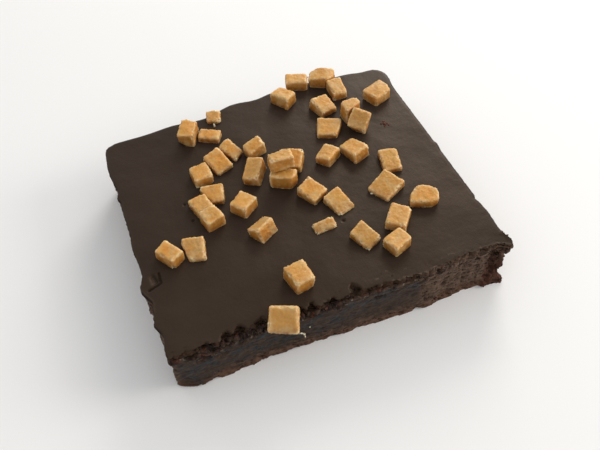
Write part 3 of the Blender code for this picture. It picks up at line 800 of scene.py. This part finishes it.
def baked_crumb():
    """Dense brownie, baked and cut: matt and porous; dragged chocolate has sheen and a painted reflection.
    """
    made, tree = new_material("baked_crumb")
    place = add_node(tree, "ShaderNodeTexCoord").outputs["Object"]
    in_mm = add_node(tree, "ShaderNodeVectorMath", SCALE, {0: place, "Scale": 1 / MM})
    up = add_node(tree, "ShaderNodeSeparateXYZ", inputs={0: place}).outputs["Z"]
    streak, flat, cut_side, band, corner = (
        add_node(tree, "ShaderNodeAttribute", {"attribute_name": name}).outputs["Fac"]
        for name in ("streak", "flat", "cut_side", "band", "corner")
    )

    # Crumbs 2 mm long and 0.8 mm high, streaks 2.2 by 0.8 mm and a fine grain of 0.6 mm
    crumbs, drawn, fine = (
        add_node(
            tree,
            "ShaderNodeTexNoise",
            inputs={
                "Vector": add_node(tree, "ShaderNodeVectorMath", TIMES, {0: place, 1: grains}),
                "Scale": 1.0,
                "Detail": detail,
                "Roughness": roughness,
            },
        )
        for grains, detail, roughness in (
            ((480, 480, 1250), 5.0, 0.75),
            ((450, 450, 1300), 5.0, 0.7),
            ((1600, 1600, 1600), 4.0, 0.7),
        )
    )
    base = tinted_by(tree, crumbs, 0.32, 0.68, "#3A2A22", "#6A5444")
    foot = add_node(tree, "ShaderNodeMapRange", SMOOTH, {0: up, 1: 0.8 * MM, 2: 3.0 * MM, 3: 0.5, 4: 0.0})
    redder = add_node(tree, "ShaderNodeMix", MIX, {0: foot, 6: base, 7: colour("#5C3C2A")})

    # The broken corner is a darker, redder brown towards its foot
    low = add_node(tree, "ShaderNodeMapRange", SMOOTH, {0: up, 1: 3.0 * MM, 2: 12.0 * MM, 3: 0.8, 4: 0.3})
    low = add_node(tree, "ShaderNodeMath", TIMES, {0: low, 1: corner})
    broken = add_node(tree, "ShaderNodeMix", MIX, {0: low, 6: redder, 7: colour("#3F1F10")})

    # A few baked crumbs in the band under the icing are lighter
    bits = add_node(tree, "ShaderNodeTexVoronoi", inputs={"Vector": place, "Scale": 800.0})
    chance = add_node(tree, "ShaderNodeSeparateColor", inputs={0: bits.outputs["Color"]})
    bits = add_node(tree, "ShaderNodeMapRange", inputs={0: chance.outputs[0], 1: 0.8, 2: 0.86, 4: 0.8})
    bits = add_node(tree, "ShaderNodeMath", TIMES, {0: bits, 1: band})
    # The band under the icing is darker: partly its torn crumb, partly painted shade under the icing's edge
    deeper = add_node(tree, "ShaderNodeMath", TIMES, {0: band, 1: 0.55})
    torn = add_node(tree, "ShaderNodeMix", MIX, {0: deeper, 6: broken, 7: colour("#2C190F")})
    flecked = add_node(tree, "ShaderNodeMix", MIX, {0: bits, 6: torn, 7: colour("#5E3320")})

    # Painted glints along the lower edge of that band: pale specks for highlights on fat
    off_edge = add_node(tree, "ShaderNodeMapRange", SMOOTH, {0: band, 1: 0.02, 2: 0.2})
    into_band = add_node(tree, "ShaderNodeMapRange", SMOOTH, {0: band, 1: 0.6, 2: 0.95, 3: 1.0, 4: 0.0})
    glint_cells = add_node(tree, "ShaderNodeTexVoronoi", inputs={"Vector": place, "Scale": 1500.0})
    painted_glints = add_node(tree, "ShaderNodeSeparateColor", inputs={0: glint_cells.outputs["Color"]})
    painted_glints = add_node(tree, "ShaderNodeMapRange", inputs={0: painted_glints.outputs[1], 1: 0.9, 2: 0.93, 4: 0.7})
    for share in (off_edge, into_band):
        painted_glints = add_node(tree, "ShaderNodeMath", TIMES, {0: painted_glints, 1: share})

    # The flat stretch is pressed dark, and the dragged chocolate on it is greyer
    pressed = tinted_by(tree, drawn, 0.37, 0.63, "#1A120E", "#43342A")
    covered = add_node(tree, "ShaderNodeMath", TIMES, {0: flat, 1: 0.8})
    flattened = add_node(tree, "ShaderNodeMix", MIX, {0: covered, 6: flecked, 7: pressed})
    # Its bluish grey is partly the chocolate's own dark and partly a painted reflection of the sky
    smear_and_sky_reflection = tinted_by(tree, drawn, 0.37, 0.63, "#0F1113", "#272B2E")
    covered = add_node(tree, "ShaderNodeMath", TIMES, {0: streak, 1: 0.9})
    smeared = add_node(tree, "ShaderNodeMix", MIX, {0: covered, 6: flattened, 7: smear_and_sky_reflection})
    # Painted glints over the smear
    smeared = add_node(tree, "ShaderNodeMix", MIX, {0: painted_glints, 6: smeared, 7: colour("#86786C")})

    # Pores, bites and torn holes get painted shade inside
    kept_open = add_node(tree, "ShaderNodeMapRange", inputs={0: flat, 3: 1.0, 4: 0.42})
    pores = add_node(tree, "ShaderNodeMath", TIMES, {0: long_pores(tree, in_mm), 1: kept_open})
    bites = add_node(tree, "ShaderNodeMath", TIMES, {0: band_bites(tree, in_mm), 1: band})
    dark = torn_holes(tree, in_mm)
    for more in (pores, bites):
        dark = add_node(tree, "ShaderNodeMath", LARGER, {0: dark, 1: more})
    for share in (cut_side, 0.92):
        dark = add_node(tree, "ShaderNodeMath", TIMES, {0: dark, 1: share})
    shaded = add_node(tree, "ShaderNodeMix", MIX, {0: dark, 6: smeared, 7: colour("#1B0E09")})
    gloss = add_node(tree, "ShaderNodeMapRange", inputs={0: streak, 3: 0.8, 4: 0.5})
    bump = add_node(tree, "ShaderNodeBump", inputs={"Strength": 0.5, "Distance": 0.15 * MM, "Height": fine})
    return with_shader(
        made,
        {"Base Color": shaded, "Roughness": gloss, "Normal": bump, "IOR": 1.45, "Specular IOR Level": 0.3},
    )


def loose_crumb():
    """Brownie crumbs torn off by the knife, from dark cocoa to baked red brown."""
    made, tree = new_material("loose_crumb")
    place = add_node(tree, "ShaderNodeTexCoord").outputs["Object"]
    crumbs = add_node(
        tree, "ShaderNodeTexNoise", inputs={"Vector": place, "Scale": 420.0, "Detail": 4.0, "Roughness": 0.7}
    )
    base = tinted_by(tree, crumbs, 0.35, 0.65, "#2A1A12", "#5C3D2A")
    up = add_node(tree, "ShaderNodeSeparateXYZ", inputs={0: place}).outputs["Z"]
    lying = add_node(tree, "ShaderNodeMapRange", inputs={0: up, 1: 16.1 * MM, 2: 16.2 * MM})
    base = add_node(tree, "ShaderNodeMix", MIX, {0: lying, 6: base, 7: colour("#5A3222")})
    return with_shader(made, {"Base Color": base, "Roughness": 0.75, "IOR": 1.45, "Specular IOR Level": 0.3})


def crystal_sugar():
    """Pale sugar that crumbled off the fudge, matt and a little see-through."""
    made, tree = new_material("crystal_sugar")
    place = add_node(tree, "ShaderNodeTexCoord").outputs["Object"]
    grains = add_node(tree, "ShaderNodeTexNoise", inputs={"Vector": place, "Scale": 1500.0, "Detail": 3.0})
    base = tinted_by(tree, grains, 0.35, 0.65, "#D2BD9A", "#EFE6D4")
    return with_shader(
        made,
        {
            "Base Color": base,
            "Roughness": 0.5,
            "IOR": 1.54,
            "Subsurface Weight": 0.2,
            "Subsurface Scale": 0.6 * MM,
        },
    )


def cooked_fudge():
    """Caramel fudge, cooked and cut: waxy, cloudy and a little see-through, paler where worn."""
    made, tree = new_material("cooked_fudge")
    place = add_node(tree, "ShaderNodeTexCoord").outputs["Object"]
    up = add_node(tree, "ShaderNodeSeparateXYZ", inputs={0: place}).outputs["Z"]
    edge, margin, tone = (
        add_node(tree, "ShaderNodeAttribute", {"attribute_name": name}).outputs["Fac"]
        for name in ("edge", "margin", "tone")
    )

    # Clouds of 2.6 mm, frosted patches of 4 mm, patches of 3 mm along the edges, and sugar of 1.4 mm
    clouds, frost, patches, sugar = (
        add_node(
            tree,
            "ShaderNodeTexNoise",
            inputs={"Vector": place, "Scale": scale, "Detail": detail, "Roughness": roughness},
        )
        for scale, detail, roughness in (
            (380.0, 4.0, 0.6),
            (260.0, 3.0, 0.6),
            (330.0, 3.0, 0.65),
            (700.0, 4.0, 0.7),
        )
    )
    body = tinted_by(tree, clouds, 0.34, 0.66, "#C98937", "#D79F4E")
    toned = add_node(tree, "ShaderNodeMath", TIMES, {0: tone, 1: 0.6})
    toned = add_node(tree, "ShaderNodeMix", MIX, {0: toned, 6: body, 7: colour("#B68E50")})

    # Painted shade: the cut sides a deeper gold than the tops, deepest where they sit in the icing
    turned = add_node(tree, "ShaderNodeNewGeometry").outputs["Normal"]
    facing = add_node(tree, "ShaderNodeSeparateXYZ", inputs={0: turned}).outputs["Z"]
    side_shade = add_node(tree, "ShaderNodeMapRange", SMOOTH, {0: facing, 1: 0.3, 2: 0.8, 3: 0.7, 4: 0.0})
    sides_shaded_gold = add_node(tree, "ShaderNodeMix", MIX, {0: side_shade, 6: toned, 7: colour("#AE7126")})
    deep = add_node(tree, "ShaderNodeMapRange", SMOOTH, {0: up, 1: 16.4 * MM, 2: 18.4 * MM, 3: 0.85, 4: 0.0})
    deeper = add_node(tree, "ShaderNodeMix", MIX, {0: deep, 6: sides_shaded_gold, 7: colour("#7E4A18")})

    # Frosted patches, and a paler margin on every face
    frosty = add_node(tree, "ShaderNodeMapRange", SMOOTH, {0: frost, 1: 0.48, 2: 0.66, 3: 0.0, 4: 0.5})
    frosted = add_node(tree, "ShaderNodeMix", MIX, {0: frosty, 6: deeper, 7: colour("#C9AB78")})
    patches = add_node(tree, "ShaderNodeMapRange", SMOOTH, {0: patches, 1: 0.4, 2: 0.62, 3: 0.12, 4: 0.75})
    near_edge = add_node(tree, "ShaderNodeMath", TIMES, {0: margin, 1: patches})
    edged = add_node(tree, "ShaderNodeMix", MIX, {0: near_edge, 6: frosted, 7: colour("#DDB67A")})

    # Worn, sugary edges
    worn = add_node(tree, "ShaderNodeMapRange", SMOOTH, {0: sugar, 1: 0.42, 2: 0.64, 3: 0.1, 4: 0.85})
    worn = add_node(tree, "ShaderNodeMath", TIMES, {0: worn, 1: edge})
    pale = add_node(tree, "ShaderNodeMix", MIX, {0: worn, 6: edged, 7: colour("#F2DCB0")})
    bump = add_node(tree, "ShaderNodeBump", inputs={"Strength": 0.6, "Distance": 0.2 * MM, "Height": sugar})
    return with_shader(
        made,
        {
            "Base Color": pale,
            "Normal": bump,
            "Roughness": 0.5,
            "IOR": 1.48,
            "Specular IOR Level": 0.35,
            "Subsurface Weight": 0.4,
            "Subsurface Radius": (1.0, 0.5, 0.2),
            "Subsurface Scale": 1.4 * MM,
        },
    )


# Pieces


def crumb_block():
    """The brownie itself, torn and porous on its cut sides."""
    piece = copy_of("brownie_crumb", "crumb_block")
    remesh(piece, CRUMB_VOXEL)
    top = CRUMB_TOP - CRUMB_SLACK
    close_flat(piece, lambda p: (p.z < CRUMB_SLACK or p.z > top) and well_inside(p, CRUMB_MARGINS))
    shape_by_nodes(piece, "crumb_relief", crumb_relief)
    return piece


def fudge_dice():
    """Every die of fudge, its foot let into the icing, all joined in one piece."""
    pieces = []
    for name in DICE:
        piece = copy_of(name, "die_" + name[-2:])
        select_vertices(piece, lambda p: p.z < DICE_START + DICE_SLACK)
        bpy.ops.transform.translate(value=(0.0, 0.0, -DICE_SUNK * MM))
        bpy.ops.object.mode_set(mode="OBJECT")
        remesh(piece, FUDGE_VOXEL)
        pieces.append(piece)
    pick(pieces[0])
    for piece in pieces:
        piece.select_set(True)
    bpy.ops.object.join()
    joined = bpy.context.view_layer.objects.active
    joined.name = "fudge_dice"
    shape_by_nodes(joined, "fudge_relief", fudge_relief)
    return joined


def icing_top():
    """The icing, with soft waves, its torn front edge and the print of a lost die."""
    piece = copy_of("chocolate_icing", "icing_top")
    remesh(piece, ICING_VOXEL)
    close_flat(piece, lambda p: p.z < ICING_BASE + ICING_SLACK and well_inside(p, ICING_MARGINS))
    shape_by_nodes(piece, "icing_relief", icing_relief)
    return piece


def small_lumps(places):
    """One mesh of small lumps, each at its place and with its half sizes in millimetres."""
    pieces = []
    for middle, half_sizes in places:
        bpy.ops.mesh.primitive_ico_sphere_add(subdivisions=2, radius=1.0, location=Vector(middle) * MM)
        bpy.ops.object.mode_set(mode="EDIT")
        bpy.ops.transform.resize(value=Vector(half_sizes) * MM)
        bpy.ops.object.mode_set(mode="OBJECT")
        pieces.append(bpy.context.active_object)
    for lump in pieces:
        lump.select_set(True)
    bpy.ops.object.join()
    piece = bpy.context.view_layer.objects.active
    place_in_mesh(piece)
    shape_by_nodes(piece, "knocked_lumps", lump_relief)
    return piece


def loose_crumbs(crumb):
    """Crumbs that cling to the torn parts of the block, and one that lies on the icing."""
    piece = bpy.data.objects.new("loose_crumbs", crumb.data.copy())
    bpy.context.scene.collection.objects.link(piece)
    shape_by_nodes(piece, "scattered_crumbs", scattered_crumbs)
    lying = small_lumps(BAKED_CRUMB)
    pick(piece)
    lying.select_set(True)
    bpy.ops.object.join()
    return piece


def sugar_chips():
    """Chips of pale sugar fallen from the fudge onto the icing."""
    piece = small_lumps(SUGAR_CHIPS)
    piece.name = "sugar_chips"
    return piece


def camera():
    """A camera where the photograph was taken from."""
    view = bpy.data.cameras.new("camera")
    view.lens = CAMERA_LENS
    view.sensor_width = CAMERA_SENSOR
    view.clip_start = CAMERA_NEAREST
    placed = bpy.data.objects.new("camera", view)
    bpy.context.scene.collection.objects.link(placed)
    placed.location = Vector(CAMERA_PLACE) * MM
    towards = Vector(CAMERA_LOOKS_AT) - Vector(CAMERA_PLACE)
    upright = towards.to_track_quat("-Z", "Y")
    placed.rotation_euler = upright.to_euler()
    placed.rotation_euler.rotate_axis("Z", math.radians(CAMERA_ROLL))
    bpy.context.scene.camera = placed


def soft_light(name, side, power, place):
    """A square soft light that hangs in this place and shines on the part."""
    lamp = bpy.data.lights.new(name, "AREA")
    lamp.shape = "SQUARE"
    lamp.size = side
    lamp.energy = power
    lamp.color = LIGHT_TINT
    hung = bpy.data.objects.new(name, lamp)
    bpy.context.scene.collection.objects.link(hung)
    hung.location = place
    hung.rotation_euler = (-hung.location).to_track_quat("-Z", "Y").to_euler()


def studio():
    """A plain pale floor under two soft lights and an even pale sky."""
    bpy.ops.mesh.primitive_plane_add(size=FLOOR_SIDE, location=(0.0, 0.0, 0.0))
    floor = bpy.context.active_object
    floor.name = "floor"
    made, _ = new_material("pale_floor")
    floor.data.materials.append(with_shader(made, {"Base Color": colour("#F4F4F4"), "Roughness": 0.9}))
    for light in SOFT_LIGHTS:
        soft_light(*light)
    sky = bpy.data.worlds.new("sky")
    bpy.context.scene.world = sky
    sky.use_nodes = True
    sky.node_tree.nodes.clear()
    even = add_node(
        sky.node_tree, "ShaderNodeBackground", inputs={"Color": colour("#FFFFFF"), "Strength": SKY_STRENGTH}
    )
    add_node(sky.node_tree, "ShaderNodeOutputWorld", inputs={"Surface": even})
    bpy.context.scene.view_settings.view_transform = "Standard"


def main():
    """Makes the camera, the studio and every piece, with its material, body and solids."""

    # The operators below need an active object, whichever it is
    pick(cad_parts["chocolate_icing"])
    camera()
    studio()
    dice = fudge_dice()
    icing = icing_top()
    crumb = crumb_block()
    finish_piece(crumb, baked_crumb(), "brownie_crumb", "brownie_crumb")
    finish_piece(icing, set_chocolate_icing(), "chocolate_icing", "chocolate_icing")
    finish_piece(dice, cooked_fudge(), "fudge", *DICE)
    finish_piece(loose_crumbs(crumb), loose_crumb(), "brownie_crumb")
    finish_piece(sugar_chips(), crystal_sugar(), "fudge")


main()
